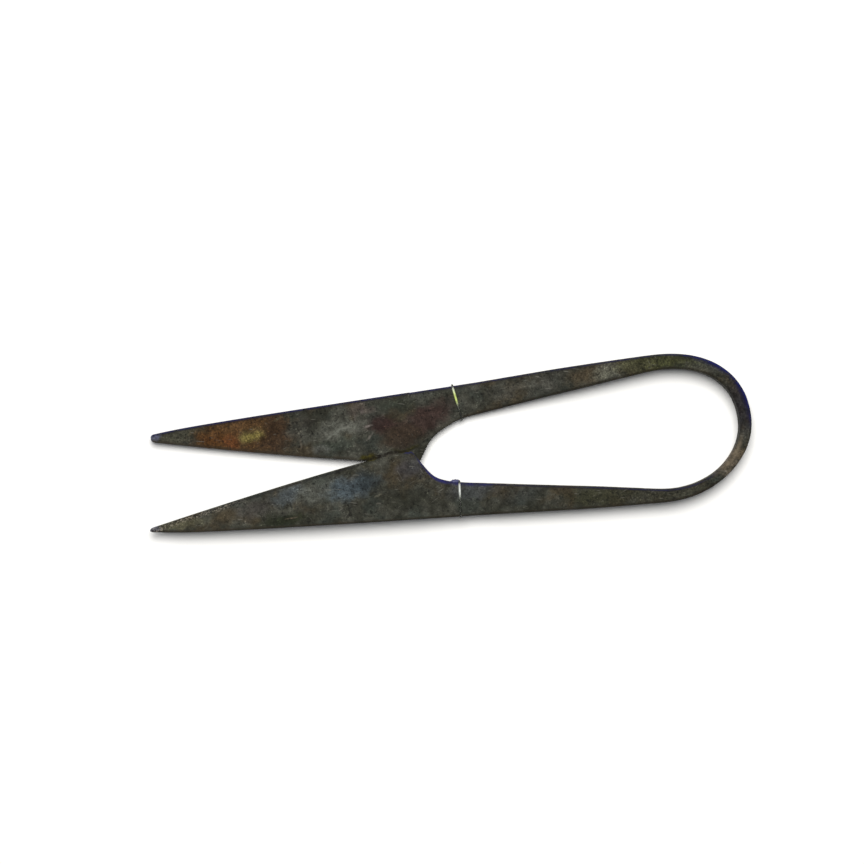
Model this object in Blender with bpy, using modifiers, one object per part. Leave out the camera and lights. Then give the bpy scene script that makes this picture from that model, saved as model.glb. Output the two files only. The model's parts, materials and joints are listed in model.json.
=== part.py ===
"""Thread snips forged from one iron bar: a round spring bow, two shanks and two crossing blades.

Metres, +Z up. The snips lie flat with the tips towards -X and the bow towards +X, so held with the tips
pointing away, +Y is the right arm. The origin is the middle of the footprint, on the table. The two inner
faces meet at the shear plane, half way up: the right blade lies under it and the left blade over it.
"""

import math

import bmesh
import bpy
import numpy as np
from mathutils import Vector

RIGHT = 1
LEFT = -1
SIDE_NAMES = {RIGHT: "right", LEFT: "left"}

# The spring bow: a band standing on edge, bent to half of a superellipse on each side.
LENGTH = 0.1114
SPRING_WIDTH = 0.0046
BOW_REACH = 0.01666
BOW_HALF_HEIGHT = 0.01358
BOW_SQUARENESS = {RIGHT: 2.28, LEFT: 1.92}
BAND_THICKNESS = [(-90, 0.00245), (-45, 0.0019), (0, 0.00225), (45, 0.0026), (90, 0.00295)]
BAND_EDGE_ROUND = 0.0005
FLEX_ANGLE = 45
SEAM_GAP = 0.0003
BOW_STATIONS = 31
LEG_STATIONS = 15

# How far each tip and each heel corner lies along X.
TIP_X = {RIGHT: -0.05388, LEFT: -LENGTH / 2}
HEEL_X = {RIGHT: -0.0053, LEFT: -0.0067}
NECK_X = 0.0013

# Outlines of an arm, as (x, distance from the cutting axis). The cutting edge is a parabola from tip to heel.
AXIS_LINE = [(0.0, -0.00017), (0.0388, 0.0)]
BACK_LINE = [
    (-0.0556, 0.00874),
    (-0.0510, 0.00929),
    (-0.0470, 0.00964),
    (-0.0200, 0.01104),
    (0.0060, 0.01217),
    (0.0240, 0.01312),
    (0.0388, BOW_HALF_HEIGHT),
]
EDGE_TIP = Vector((-0.0561, 0.0081))
EDGE_BELLY = Vector((-0.0166, -0.0005))
EDGE_HEEL = Vector((-0.0052, -0.0011))
EDGE_STATIONS = 60
HEEL_LINE = {
    RIGHT: [(-0.0053, -0.0011), (-0.0026, 0.0029), (0.0004, 0.0048), (0.0034, 0.00594), (0.0064, 0.00632)],
    LEFT: [(-0.0067, -0.00105), (-0.0026, 0.0044), (-0.0006, 0.0052), (0.0034, 0.00592), (0.0064, 0.00632)],
}
SHANK_WIDTH = [(0.0064, 0.00586), (0.0124, 0.00533), (0.0244, 0.00433), (0.0388, 0.0027)]
SHANK_UNEVENNESS = 0.00025
TIP_ROUNDING = 0.0006
TIP_BLUNTING = 0.45

# Heights measured from the shear plane, outward: the inner face and the back of the forging.
FACE_LINE = [(0.002, 0.0001), (0.006, -0.00015), (0.012, -0.0007), (0.024, -0.0017), (0.0388, -0.0023)]
BACK_FACE_LINE = [
    (-0.0556, 0.00122),
    (-0.0450, 0.00175),
    (-0.0240, 0.0023),
    (-0.0080, 0.0023),
    (0.0005, 0.0018),
    (0.0040, 0.0018),
    (0.0100, 0.0023),
    (0.0388, 0.0023),
]
CORNER_ROUND = [(-0.0556, 0.00015), (-0.040, 0.0003), (-0.008, 0.00035), (0.004, 0.0006), (0.0388, 0.0005)]
CORNER_CUT = 0.3
SHARP_CORNER = 0.00006
BLADE_STATIONS = 16
HEEL_STATIONS = 15
SHANK_STATIONS = 24

# The grind of a blade's outer side, in shares of its width, and the steel that faces its inner side.
GRIND_LAND = 0.30
GRIND_BREAK = 0.66
GRIND_BREAK_DROP = 0.4
GRIND_DROP = [(-0.0556, 0.00025), (-0.045, 0.0006), (-0.024, 0.00115), (-0.012, 0.0011), (-0.004, 0.0)]
STEEL_HEEL_GAP = 0.0006
STEEL_FACE = 0.0001
STEEL_THICKNESS = 0.0005
STEEL_GAP = 0.0001
STEEL_BACK_MARGIN = 0.00025
EDGE_BEVEL = 0.00045
EDGE_THICKNESS = 0.00018
IRON_SETBACK = 0.00062

# The clear lines tied round the shanks.
TIE_DIAMETER = 0.00036
TIE_GAP = 0.0001
TIE_OUTER_X = {RIGHT: 0.00200, LEFT: 0.00100}
TIE_INNER_X = {RIGHT: 0.00315, LEFT: 0.00145}
TIE_BEND = 0.00045
TIE_BEND_STATIONS = 4
KNOT_SIZE = Vector((0.0018, 0.0007, 0.0008))
KNOT_SHIFT = 0.00081
KNOT_HEIGHT = 0.001

MID_Z = SPRING_WIDTH / 2
BOW_CENTRE_X = LENGTH / 2 - BOW_REACH
SMOOTH_ANGLE = 35
COLLECTION = "thread_snips"


# ---------------------------------------------------------------- scene


def clear_scene():
    for obj in list(bpy.data.objects):
        bpy.data.objects.remove(obj, do_unlink=True)


def named_collection(name):
    collection = bpy.data.collections.new(name)
    bpy.context.scene.collection.children.link(collection)
    return collection


def make_material(name, color, roughness, metallic):
    material = bpy.data.materials.new(name)
    material.use_nodes = True
    shader = material.node_tree.nodes["Principled BSDF"]
    shader.inputs["Base Color"].default_value = (*color, 1.0)
    shader.inputs["Roughness"].default_value = roughness
    shader.inputs["Metallic"].default_value = metallic
    material.diffuse_color = (*color, 1.0)
    return material


def add_object(name, data, material, collection, parent=None):
    """Links a new object, which keeps its place in the world when it hangs from an empty."""
    obj = bpy.data.objects.new(name, data)
    collection.objects.link(obj)
    data.materials.append(material)
    if parent is not None:
        obj.parent = parent
        obj.matrix_parent_inverse = parent.matrix_world.inverted()
    return obj


def smooth_mesh(mesh):
    mesh.shade_smooth()
    mesh.set_sharp_from_angle(angle=math.radians(SMOOTH_ANGLE))


# ---------------------------------------------------------------- lines


def smooth_through(points, x):
    """Height at x of a smooth line through the points. It never overshoots them, and is level beyond them."""
    if x <= points[0][0]:
        return points[0][1]
    if x >= points[-1][0]:
        return points[-1][1]
    slopes = [(b[1] - a[1]) / (b[0] - a[0]) for a, b in zip(points, points[1:])]
    tangents = [slopes[0]]
    for before, after in zip(slopes, slopes[1:]):
        same_way = before * after > 0
        tangents.append(2 * before * after / (before + after) if same_way else 0.0)
    tangents.append(slopes[-1])
    i = max(k for k in range(len(points) - 1) if points[k][0] <= x)
    span = points[i + 1][0] - points[i][0]
    u = (x - points[i][0]) / span
    rise = (
        (2 * u**3 - 3 * u**2 + 1) * points[i][1]
        + (u**3 - 2 * u**2 + u) * span * tangents[i]
        + (3 * u**2 - 2 * u**3) * points[i + 1][1]
        + (u**3 - u**2) * span * tangents[i + 1]
    )
    return rise


def edge_line(x):
    """The cutting edge, one arc of a parabola from tip to heel, as a distance from the cutting axis."""
    t = np.linspace(0, 1, EDGE_STATIONS)
    xs = (1 - t) ** 2 * EDGE_TIP.x + 2 * t * (1 - t) * EDGE_BELLY.x + t**2 * EDGE_HEEL.x
    ys = (1 - t) ** 2 * EDGE_TIP.y + 2 * t * (1 - t) * EDGE_BELLY.y + t**2 * EDGE_HEEL.y
    return float(np.interp(x, xs, ys))


def inner_line(side, x):
    """An arm's inner outline: the cutting edge, then the heel, then the shank."""
    if x <= HEEL_X[side]:
        return edge_line(x)
    if x <= SHANK_WIDTH[0][0]:
        return smooth_through(HEEL_LINE[side], x)
    uneven = side * SHANK_UNEVENNESS * (x / BOW_CENTRE_X) ** 2
    return smooth_through(BACK_LINE, x) - smooth_through(SHANK_WIDTH, x) - uneven


def band_thickness(angle):
    return smooth_through(BAND_THICKNESS, angle)


def bow_outer(angle):
    """A point on the bow's outer outline: 0 is the crown, 90 and -90 the ends of the right and left shanks."""
    side = RIGHT if angle >= 0 else LEFT
    power = 2 / BOW_SQUARENESS[side]
    turn = math.radians(abs(angle))
    across = BOW_REACH * max(math.cos(turn), 0.0) ** power
    up = BOW_HALF_HEIGHT * math.sin(turn) ** power
    return Vector((BOW_CENTRE_X + across, side * up))


def bow_inward(angle):
    """The direction from the outer outline into the band, square to that outline."""
    if abs(angle) >= 90:
        return Vector((0, -1 if angle > 0 else 1))
    if angle == 0:
        return Vector((-1, 0))
    step = 0.5
    along = bow_outer(min(angle + step, 90)) - bow_outer(max(angle - step, -90))
    return Vector((-along.y, along.x)).normalized()


def bow_point(angle, depth):
    """A point in the band: depth 0 is its outer outline, 1 its inner one."""
    return bow_outer(angle) + bow_inward(angle) * band_thickness(angle) * depth


def flex_point(side):
    return bow_point(side * FLEX_ANGLE, 0.5)


# ---------------------------------------------------------------- spring band


def make_band(name, angles, material, collection, parent=None):
    """A stretch of the band: its outline in plan, extruded to the band's width, with rounded edges."""
    outer = [bow_point(a, 0) for a in angles]
    inner = [bow_point(a, 1) for a in reversed(angles)]
    curve = bpy.data.curves.new(name, "CURVE")
    curve.dimensions = "2D"
    curve.fill_mode = "BOTH"
    curve.extrude = SPRING_WIDTH / 2
    spline = curve.splines.new("POLY")
    spline.points.add(len(outer) + len(inner) - 1)
    for point, place in zip(spline.points, outer + inner):
        point.co = (place.x, place.y, 0, 1)
    spline.use_cyclic_u = True
    band = add_object(name, curve, material, collection, parent)
    band.location.z = MID_Z
    weld = band.modifiers.new("join_caps", "WELD")
    weld.merge_threshold = 0.00001
    bevel = band.modifiers.new("round_edges", "BEVEL")
    bevel.width = BAND_EDGE_ROUND
    bevel.segments = 2
    bevel.limit_method = "ANGLE"
    bevel.angle_limit = math.radians(50)
    return band


def half_gap_angle():
    """Half of the seam's gap, as an angle of the bow, from how far a degree reaches near the flex points."""
    step = 1
    apart = (bow_outer(FLEX_ANGLE + step) - bow_outer(FLEX_ANGLE - step)).length
    return SEAM_GAP / 2 * 2 * step / apart


def make_bow(material, collection):
    end = FLEX_ANGLE - half_gap_angle()
    angles = [float(a) for a in np.linspace(-end, end, BOW_STATIONS)]
    return make_band("spring_bow", angles, material, collection)


def make_spring_leg(side, material, collection, parent):
    angles = [side * float(a) for a in np.linspace(FLEX_ANGLE + half_gap_angle(), 90, LEG_STATIONS)]
    if side == LEFT:
        angles.reverse()
    name = f"{SIDE_NAMES[side]}_spring_leg"
    return make_band(name, angles, material, collection, parent)


# ---------------------------------------------------------------- lofted arms


def place(side, x, across, height):
    """A point of an arm in the world, from its distance to the cutting axis and to the shear plane."""
    return Vector((x, side * across + smooth_through(AXIS_LINE, x), MID_Z - side * height))


def tip_fullness(side, x):
    """1 along the arm, and less in the last half millimetre, which rounds the tip in plan."""
    short = 1 - min((x - TIP_X[side]) / TIP_ROUNDING, 1.0)
    return 1 - TIP_BLUNTING * short**2


def arm_outline(side, x):
    """Distances of the back and of the inner outline from the cutting axis, with the tip rounded off."""
    back = smooth_through(BACK_LINE, x)
    inner = inner_line(side, x)
    middle = (back + inner) / 2
    half = (back - inner) / 2 * tip_fullness(side, x)
    return middle + half, middle - half


def arm_section(side, x, face, setback):
    """Section of the forging at x: face is its height over the shear plane, setback bares the edge steel."""
    back, inner = arm_outline(side, x)
    inner += setback
    width = back - inner
    top = smooth_through(BACK_FACE_LINE, x)
    drop = smooth_through(GRIND_DROP, x)
    radius = smooth_through(CORNER_ROUND, x)
    small = SHARP_CORNER if setback else radius
    cut = CORNER_CUT
    return [
        (back, face + small),
        (back, top - radius),
        (back - cut * radius, top - cut * radius),
        (back - radius, top),
        (back - GRIND_LAND * width, top),
        (back - GRIND_BREAK * width, top - GRIND_BREAK_DROP * drop),
        (inner + small, top - drop),
        (inner + cut * small, top - drop - cut * small),
        (inner, top - drop - small),
        (inner, face + small),
        (inner + cut * small, face + cut * small),
        (inner + small, face),
        (back - small, face),
        (back - cut * small, face + cut * small),
    ]


def steel_section(side, x):
    """Section of the edge steel: a thin plate on the inner face, bevelled to the cutting edge."""
    back, edge = arm_outline(side, x)
    top = STEEL_FACE + STEEL_THICKNESS
    bevel = min(EDGE_BEVEL, 0.5 * (back - edge))
    return [
        (back - STEEL_BACK_MARGIN, STEEL_FACE),
        (back - STEEL_BACK_MARGIN, top),
        (edge + bevel, top),
        (edge, STEEL_FACE + EDGE_THICKNESS),
        (edge, STEEL_FACE),
    ]


def make_loft(name, side, stations, material, collection, parent):
    """A closed solid through sections at the given x, each a list of (distance, height) points."""
    mesh = bpy.data.meshes.new(name)
    bm = bmesh.new()
    rings = []
    for x, section in stations:
        rings.append([bm.verts.new(place(side, x, across, height)) for across, height in section])
    count = len(rings[0])
    for ring, after in zip(rings, rings[1:]):
        for i in range(count):
            j = (i + 1) % count
            bm.faces.new((ring[i], after[i], after[j], ring[j]))
    bm.faces.new(rings[0])
    bm.faces.new(list(reversed(rings[-1])))
    bm.to_mesh(mesh)
    bm.free()
    smooth_mesh(mesh)
    return add_object(name, mesh, material, collection, parent)


def blade_places(side, end):
    """Stations from the tip to the heel: close together where the tip is rounded."""
    tip = TIP_X[side]
    near_tip = [tip + share * TIP_ROUNDING for share in (0, 0.25, 0.5, 1, 3)]
    return near_tip + [float(x) for x in np.linspace(tip + 7 * TIP_ROUNDING, end, BLADE_STATIONS)]


def make_blade(side, material, collection, parent):
    """Blade and heel. Its inner face is let in by the edge steel's thickness, up to just short of the heel."""
    rebate = STEEL_FACE + STEEL_THICKNESS + STEEL_GAP
    steel_end = HEEL_X[side] - STEEL_HEEL_GAP + STEEL_GAP
    stations = [(x, arm_section(side, x, rebate, IRON_SETBACK)) for x in blade_places(side, steel_end)]
    step_out = 0.00002
    heel = np.linspace(steel_end + step_out, NECK_X - SEAM_GAP / 2, HEEL_STATIONS)
    stations += [(float(x), arm_section(side, float(x), STEEL_FACE, 0.0)) for x in heel]
    name = f"{SIDE_NAMES[side]}_blade"
    return make_loft(name, side, stations, material, collection, parent)


def make_edge_steel(side, material, collection, parent):
    end = HEEL_X[side] - STEEL_HEEL_GAP
    stations = [(x, steel_section(side, x)) for x in blade_places(side, end)]
    name = f"{SIDE_NAMES[side]}_edge_steel"
    return make_loft(name, side, stations, material, collection, parent)


def make_shank(side, material, collection, parent):
    places = np.linspace(NECK_X + SEAM_GAP / 2, BOW_CENTRE_X - SEAM_GAP, SHANK_STATIONS)
    stations = []
    for x in places:
        face = smooth_through(FACE_LINE, float(x))
        stations.append((float(x), arm_section(side, float(x), face, 0.0)))
    name = f"{SIDE_NAMES[side]}_shank"
    return make_loft(name, side, stations, material, collection, parent)


# ---------------------------------------------------------------- ties


def tie_path(side):
    """A closed path round the shank, a little proud of it: along its back, over, along its inner face, and back."""
    clear = TIE_GAP + TIE_DIAMETER / 2
    outer_x, inner_x = TIE_OUTER_X[side], TIE_INNER_X[side]
    outer, _ = arm_outline(side, outer_x)
    _, inner = arm_outline(side, inner_x)
    middle_x = (outer_x + inner_x) / 2
    low = smooth_through(FACE_LINE, middle_x) - clear
    high = smooth_through(BACK_FACE_LINE, middle_x) + clear
    across = (outer + inner) / 2
    half_width = (outer - inner) / 2 + clear
    lift = (low + high) / 2
    half_height = (high - low) / 2
    points = []
    for quarter in range(4):
        east = 1 if quarter in (0, 3) else -1
        north = 1 if quarter in (0, 1) else -1
        for turn in np.radians(90 * quarter + np.linspace(0, 90, TIE_BEND_STATIONS)):
            a = across + east * (half_width - TIE_BEND) + TIE_BEND * math.cos(turn)
            h = lift + north * (half_height - TIE_BEND) + TIE_BEND * math.sin(turn)
            share = (a - across) / half_width
            x = middle_x + (outer_x - inner_x) / 2 * share
            points.append(place(side, x, a, h))
    return points


def make_tie(side, material, collection, parent):
    """The tied line, as a wire in one closed turn."""
    name = f"{SIDE_NAMES[side]}_tie"
    curve = bpy.data.curves.new(name, "CURVE")
    curve.dimensions = "3D"
    curve.bevel_depth = TIE_DIAMETER / 2
    curve.bevel_resolution = 2
    path = tie_path(side)
    spline = curve.splines.new("POLY")
    spline.points.add(len(path) - 1)
    for point, where in zip(spline.points, path):
        point.co = (*where, 1)
    spline.use_cyclic_u = True
    return add_object(name, curve, material, collection, parent)


def make_knot(material, collection, parent):
    """The left tie's knot, pulled against the inner side of the shank, towards the blade."""
    x = TIE_INNER_X[LEFT] - KNOT_SHIFT
    _, inner = arm_outline(LEFT, x)
    mesh = bpy.data.meshes.new("left_tie_knot")
    bm = bmesh.new()
    bmesh.ops.create_uvsphere(bm, u_segments=12, v_segments=8, radius=0.5)
    bmesh.ops.scale(bm, vec=KNOT_SIZE, verts=bm.verts)
    bm.to_mesh(mesh)
    bm.free()
    smooth_mesh(mesh)
    knot = add_object("left_tie_knot", mesh, material, collection, parent)
    knot.location = place(LEFT, x, inner - TIE_GAP - KNOT_SIZE.y / 2, KNOT_HEIGHT)
    return knot


# ---------------------------------------------------------------- assembly


def make_flex_axis(side, collection):
    """The empty on the upright axis about which one arm swings as the bow flexes."""
    axis = bpy.data.objects.new(f"{SIDE_NAMES[side]}_flex_axis", None)
    pivot = flex_point(side)
    axis.location = (pivot.x, pivot.y, MID_Z)
    axis.empty_display_size = 0.005
    collection.objects.link(axis)
    bpy.context.view_layer.update()
    return axis


def build():
    clear_scene()
    parts = named_collection(COLLECTION)
    iron = make_material("forged_iron", (0.055, 0.053, 0.046), 0.55, 0.85)
    steel = make_material("edge_steel", (0.16, 0.16, 0.155), 0.4, 0.95)
    line = make_material("clear_nylon", (0.75, 0.78, 0.66), 0.25, 0.0)
    make_bow(iron, parts)
    for side in (RIGHT, LEFT):
        axis = make_flex_axis(side, parts)
        make_spring_leg(side, iron, parts, axis)
        make_shank(side, iron, parts, axis)
        make_blade(side, iron, parts, axis)
        make_edge_steel(side, steel, parts, axis)
        make_tie(side, line, parts, axis)
        if side == LEFT:
            make_knot(line, parts, axis)


build()
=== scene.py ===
"""Looks of the forged thread snips: a worn iron skin over bow, shanks and blades, edge steel, and ties.

Metres, in the frame of the CAD model: tips towards -X, bow towards +X, right arm on +Y, lying on Z = 0.
"""

import json
import math
from functools import cache

import bpy
import numpy as np
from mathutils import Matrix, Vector, noise


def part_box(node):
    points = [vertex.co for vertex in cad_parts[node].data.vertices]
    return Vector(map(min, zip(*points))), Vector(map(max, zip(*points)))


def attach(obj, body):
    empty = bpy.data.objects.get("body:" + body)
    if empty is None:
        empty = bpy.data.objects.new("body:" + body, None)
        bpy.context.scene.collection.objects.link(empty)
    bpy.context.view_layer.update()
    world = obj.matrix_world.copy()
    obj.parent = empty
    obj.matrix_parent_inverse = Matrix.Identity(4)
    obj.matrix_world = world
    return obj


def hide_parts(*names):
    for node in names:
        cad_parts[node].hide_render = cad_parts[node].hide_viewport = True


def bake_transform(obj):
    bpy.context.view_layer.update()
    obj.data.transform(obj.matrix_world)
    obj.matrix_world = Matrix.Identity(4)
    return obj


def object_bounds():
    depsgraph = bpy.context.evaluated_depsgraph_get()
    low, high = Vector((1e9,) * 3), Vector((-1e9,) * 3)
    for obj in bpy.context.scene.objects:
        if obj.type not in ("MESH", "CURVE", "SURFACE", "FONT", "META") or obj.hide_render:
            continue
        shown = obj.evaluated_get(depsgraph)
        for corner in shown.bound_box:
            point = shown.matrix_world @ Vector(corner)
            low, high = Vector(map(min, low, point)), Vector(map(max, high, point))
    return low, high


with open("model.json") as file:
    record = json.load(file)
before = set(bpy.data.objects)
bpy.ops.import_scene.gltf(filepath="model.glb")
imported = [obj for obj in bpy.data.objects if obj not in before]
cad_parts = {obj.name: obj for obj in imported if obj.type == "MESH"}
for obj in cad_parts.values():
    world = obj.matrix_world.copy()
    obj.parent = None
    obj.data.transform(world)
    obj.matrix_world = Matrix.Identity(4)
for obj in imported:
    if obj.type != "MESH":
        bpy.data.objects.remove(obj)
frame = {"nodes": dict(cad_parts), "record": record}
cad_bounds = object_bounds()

MM = 0.001
RIGHT = 1
LEFT = -1
SIDE_NAMES = {RIGHT: "right", LEFT: "left"}

# The edge steel, which faces the inner side of each blade. Heights run from the shear plane.
SETBACK = 0.48 * MM
EDGE_BEVEL = 0.45 * MM
EDGE_THICKNESS = 0.14 * MM
STEEL_FACE = 0.10 * MM
STEEL_THICKNESS = 0.56 * MM
HOLLOW_DEPTH = 0.07 * MM
BEVEL_FADE = 3.0 * MM

# The forging's sections: the blades' ground backs, with a land along the spine that is a share of the
# width, the tips, the shanks and the band of the bow.
GRIND_LAND = 0.24
GRIND_POWER = 1.35
GROUND_THICKNESS = 0.14 * MM
TIP_ROUNDING = 0.60 * MM
TIP_BLUNTNESS = 0.30
TIP_TAPER = 7.0 * MM
TIP_THINNING = 0.36 * MM
SHANK_DOME = 0.24 * MM
LET_IN_CORNER = 0.02 * MM
BAND_CROWNING = 0.05 * MM
BAND_CORNER = 0.55 * MM

# How fine the skin's grid is.
ARM_STEP = 0.30 * MM
TIP_STATIONS = 9
HEEL_STATIONS = 38
SHANK_STATIONS = 130
HEEL_LENGTH = 5.5 * MM
BOW_STEP_DEG = 1.05
BOW_END_DEG = 89.8
ACROSS_COUNT = 46
WALL_COUNT = 8
CORNER_COUNT = 4

# How the CAD's outlines are read: the step, how far it stays clear of tips, seams and the steel's end,
# the stretch at the heel that is hardly smoothed, and the smoothing there and elsewhere, in steps.
READ_STEP = 0.1 * MM
READ_CLEARANCE = 0.7 * MM
BOW_CLEARANCE = 0.6 * MM
SEAM_CLEARANCE_DEG = 3.0
HEEL_SHIFT = 1.5 * MM
HEEL_REACH = 4.0 * MM
HEEL_SMOOTHING = 1.5
ARM_SMOOTHING = 11.0
BOW_SMOOTHING = 3.0

# The surface's wear. Waves: depth in millimetres, size and seed. Pits: the same and how full they lie.
WAVES = [(0.034, 6.5 * MM, 1), (0.018, 2.2 * MM, 2), (0.010, 0.8 * MM, 3)]
PITS = [(0.030, 1.3 * MM, 1, 0.28), (0.022, 0.75 * MM, 2, 0.25)]
PIT_PATCH_SIZE = 5.0 * MM
PIT_PATCH_SEED = 5

low_corner, high_corner = (Vector(corner) for corner in cad_bounds)
MID_Z = high_corner.z / 2
BOW_CENTRE_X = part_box("right_spring_leg")[0].x
TIP_X = {side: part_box(f"{name}_edge_steel")[0].x for side, name in SIDE_NAMES.items()}
STEEL_END_X = {side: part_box(f"{name}_edge_steel")[1].x for side, name in SIDE_NAMES.items()}
NECK_X = {side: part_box(f"{name}_blade")[1].x for side, name in SIDE_NAMES.items()}
FLEX_POINTS = [joint["pos_m"] for joint in frame["record"]["behaviour"]["joints"]]
SEAM_ANGLES = [-90, 90] + [math.degrees(math.atan2(p[1], p[0] - BOW_CENTRE_X)) for p in FLEX_POINTS]


# ------------------------------------ camera, floor and lights


def build_camera():
    """Looks straight down from half a metre, rolled a little, so that the tips sit lower left."""
    distance = 0.500
    view_width = 0.1576
    roll = math.radians(-6.15)
    centre = Vector((-0.00255, 0.00383, 0.004))
    data = bpy.data.cameras.new("camera")
    data.sensor_width = 36.0
    data.lens = data.sensor_width * distance / view_width
    camera = bpy.data.objects.new("camera", data)
    camera.location = centre + Vector((0, 0, distance))
    camera.rotation_euler = (0, 0, roll)
    bpy.context.scene.collection.objects.link(camera)
    bpy.context.scene.camera = camera


def build_floor():
    mesh = bpy.data.meshes.new("floor")
    half = 1.5
    corners = [(-half, -half, 0), (half, -half, 0), (half, half, 0), (-half, half, 0)]
    mesh.from_pydata(corners, [], [(0, 1, 2, 3)])
    floor = bpy.data.objects.new("floor", mesh)
    bpy.context.scene.collection.objects.link(floor)
    material = bpy.data.materials.new("floor_white")
    material.use_nodes = True
    shader = material.node_tree.nodes["Principled BSDF"]
    shader.inputs["Base Color"].default_value = (0.92, 0.92, 0.915, 1)
    shader.inputs["Roughness"].default_value = 0.9
    shader.inputs["Specular IOR Level"].default_value = 0.1
    mesh.materials.append(material)


def build_light():
    """A wide soft key high above and beyond the right arm, and an even, almost white surround."""
    data = bpy.data.lights.new("key", "AREA")
    data.shape = "DISK"
    data.size = 0.54
    data.energy = 7.8
    data.color = (1.0, 0.985, 0.955)
    key = bpy.data.objects.new("key", data)
    key.location = (0.03, 0.265, 0.75)
    key.rotation_euler = (-key.location).to_track_quat("-Z", "Y").to_euler()
    bpy.context.scene.collection.objects.link(key)
    world = bpy.data.worlds.new("surround")
    world.use_nodes = True
    background = world.node_tree.nodes["Background"]
    background.inputs["Color"].default_value = (0.96, 0.98, 1.0, 1)
    background.inputs["Strength"].default_value = 0.22
    bpy.context.scene.world = world
    bpy.context.scene.view_settings.view_transform = "Standard"


# ------------------------------------ reading the frame


def cad_edges(*names):
    """Both ends of every mesh edge of these CAD nodes, as two arrays of points."""
    starts, ends = [], []
    for name in names:
        mesh = frame["nodes"][name].data
        points = np.array([v.co for v in mesh.vertices], float)
        pairs = np.array([e.vertices for e in mesh.edges], int)
        starts.append(points[pairs[:, 0]])
        ends.append(points[pairs[:, 1]])
    return np.concatenate(starts), np.concatenate(ends)


def crossing_points(edges, offset_of):
    """Where the edges cross the surface on which offset_of(points) is zero."""
    starts, ends = edges
    a, b = offset_of(starts), offset_of(ends)
    crossing = (a * b <= 0) & (a != b)
    share = (a[crossing] / (a[crossing] - b[crossing]))[:, None]
    return starts[crossing] + share * (ends[crossing] - starts[crossing])


def fill_gaps(places, values):
    """Values with every missing one filled in from its neighbours."""
    known = ~np.isnan(values)
    return np.interp(places, places[known], values[known])


def smoothed(values, width):
    """Values run through a bell-shaped average, with both ends kept."""
    reach = int(3 * width)
    weights = np.exp(-0.5 * (np.arange(-reach, reach + 1) / width) ** 2)
    before = 2 * values[0] - values[reach:0:-1]
    after = 2 * values[-1] - values[-2 : -reach - 2 : -1]
    return np.convolve(np.concatenate([before, values, after]), weights / weights.sum(), "valid")


def read_at(places, known_places, values):
    """Values at these places, carried on straight past both ends of the known ones."""
    reach = 30
    first = (values[reach] - values[0]) / (known_places[reach] - known_places[0])
    last = (values[-1] - values[-reach]) / (known_places[-1] - known_places[-reach])
    before = np.minimum(places - known_places[0], 0)
    after = np.maximum(places - known_places[-1], 0)
    beyond = first * before + last * after
    return np.interp(places, known_places, values) + beyond


def arm_places(side):
    """Stations along an arm from its tip to the bow: closer where the tip and the heel turn."""
    tip, steel_end = TIP_X[side], STEEL_END_X[side]
    near_tip = tip + TIP_ROUNDING * (1 - np.cos(np.linspace(0, math.pi / 2, TIP_STATIONS)))
    blade = np.arange(near_tip[-1] + ARM_STEP, steel_end - ARM_STEP / 2, ARM_STEP)
    heel_end = steel_end + HEEL_LENGTH
    heel = np.linspace(steel_end + 0.002 * MM, heel_end, HEEL_STATIONS)
    shank = np.linspace(heel_end + ARM_STEP, BOW_CENTRE_X - 0.2 * MM, SHANK_STATIONS)
    return np.concatenate([near_tip, blade, [steel_end], heel, shank])


def arm_profile(side):
    """The stations along an arm, and four measures of the CAD at each of them.

    These are Y of the outer and inner outlines, and the heights of face and back over the shear plane.
    Near the steel's end the face isn't read, because the CAD has a gap there.
    """
    name = SIDE_NAMES[side]
    blade = cad_edges(f"{name}_blade", f"{name}_edge_steel")
    shank = cad_edges(f"{name}_shank")
    even = np.arange(TIP_X[side] + READ_CLEARANCE, BOW_CENTRE_X - BOW_CLEARANCE, READ_STEP)
    rows = np.full((len(even), 4), np.nan)
    for i, x in enumerate(even):
        points = crossing_points(blade if x < NECK_X[side] else shank, lambda p: p[:, 0] - x)
        if len(points) >= 4 and abs(x - NECK_X[side]) > READ_CLEARANCE:
            across = side * points[:, 1]
            height = side * (MID_Z - points[:, 2])
            rows[i] = across.max(), across.min(), height.min(), height.max()
    face = 2
    rows[np.abs(even - STEEL_END_X[side]) < READ_CLEARANCE, face] = np.nan
    heel = np.exp(-(((even - STEEL_END_X[side] - HEEL_SHIFT) / HEEL_REACH) ** 4))
    places = arm_places(side)
    found = []
    for values in rows.T:
        values = fill_gaps(even, values)
        close, wide = smoothed(values, HEEL_SMOOTHING), smoothed(values, ARM_SMOOTHING)
        found.append(read_at(places, even, heel * close + (1 - heel) * wide))
    return places, found


def bow_profile():
    """Even angles in degrees about the bow's centre, from right to left, with both outlines' radii."""
    edges = cad_edges("spring_bow", "right_spring_leg", "left_spring_leg")
    angles = np.linspace(BOW_END_DEG, -BOW_END_DEG, int(2 * BOW_END_DEG / BOW_STEP_DEG) | 1)
    centre = np.array([BOW_CENTRE_X, 0.0])
    rows = np.full((len(angles), 2), np.nan)
    for i, angle in enumerate(angles):
        turn = math.radians(angle)
        direction = np.array([math.cos(turn), math.sin(turn)])
        across = np.array([-direction[1], direction[0]])
        points = crossing_points(edges, lambda p: (p[:, :2] - centre) @ across)
        radii = (points[:, :2] - centre) @ direction
        radii = radii[radii > 0]
        clear = min(abs(angle - seam) for seam in SEAM_ANGLES) > SEAM_CLEARANCE_DEG
        if clear and len(radii) >= 4:
            rows[i] = radii.max(), radii.min()
    return angles, [smoothed(fill_gaps(-angles, values), BOW_SMOOTHING) for values in rows.T]


# ------------------------------------ the iron skin's base shape


def ease(t):
    """0 up to t = 0, 1 from t = 1 on, and smooth between them."""
    t = np.clip(t, 0, 1)
    return t * t * (3 - 2 * t)


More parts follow.
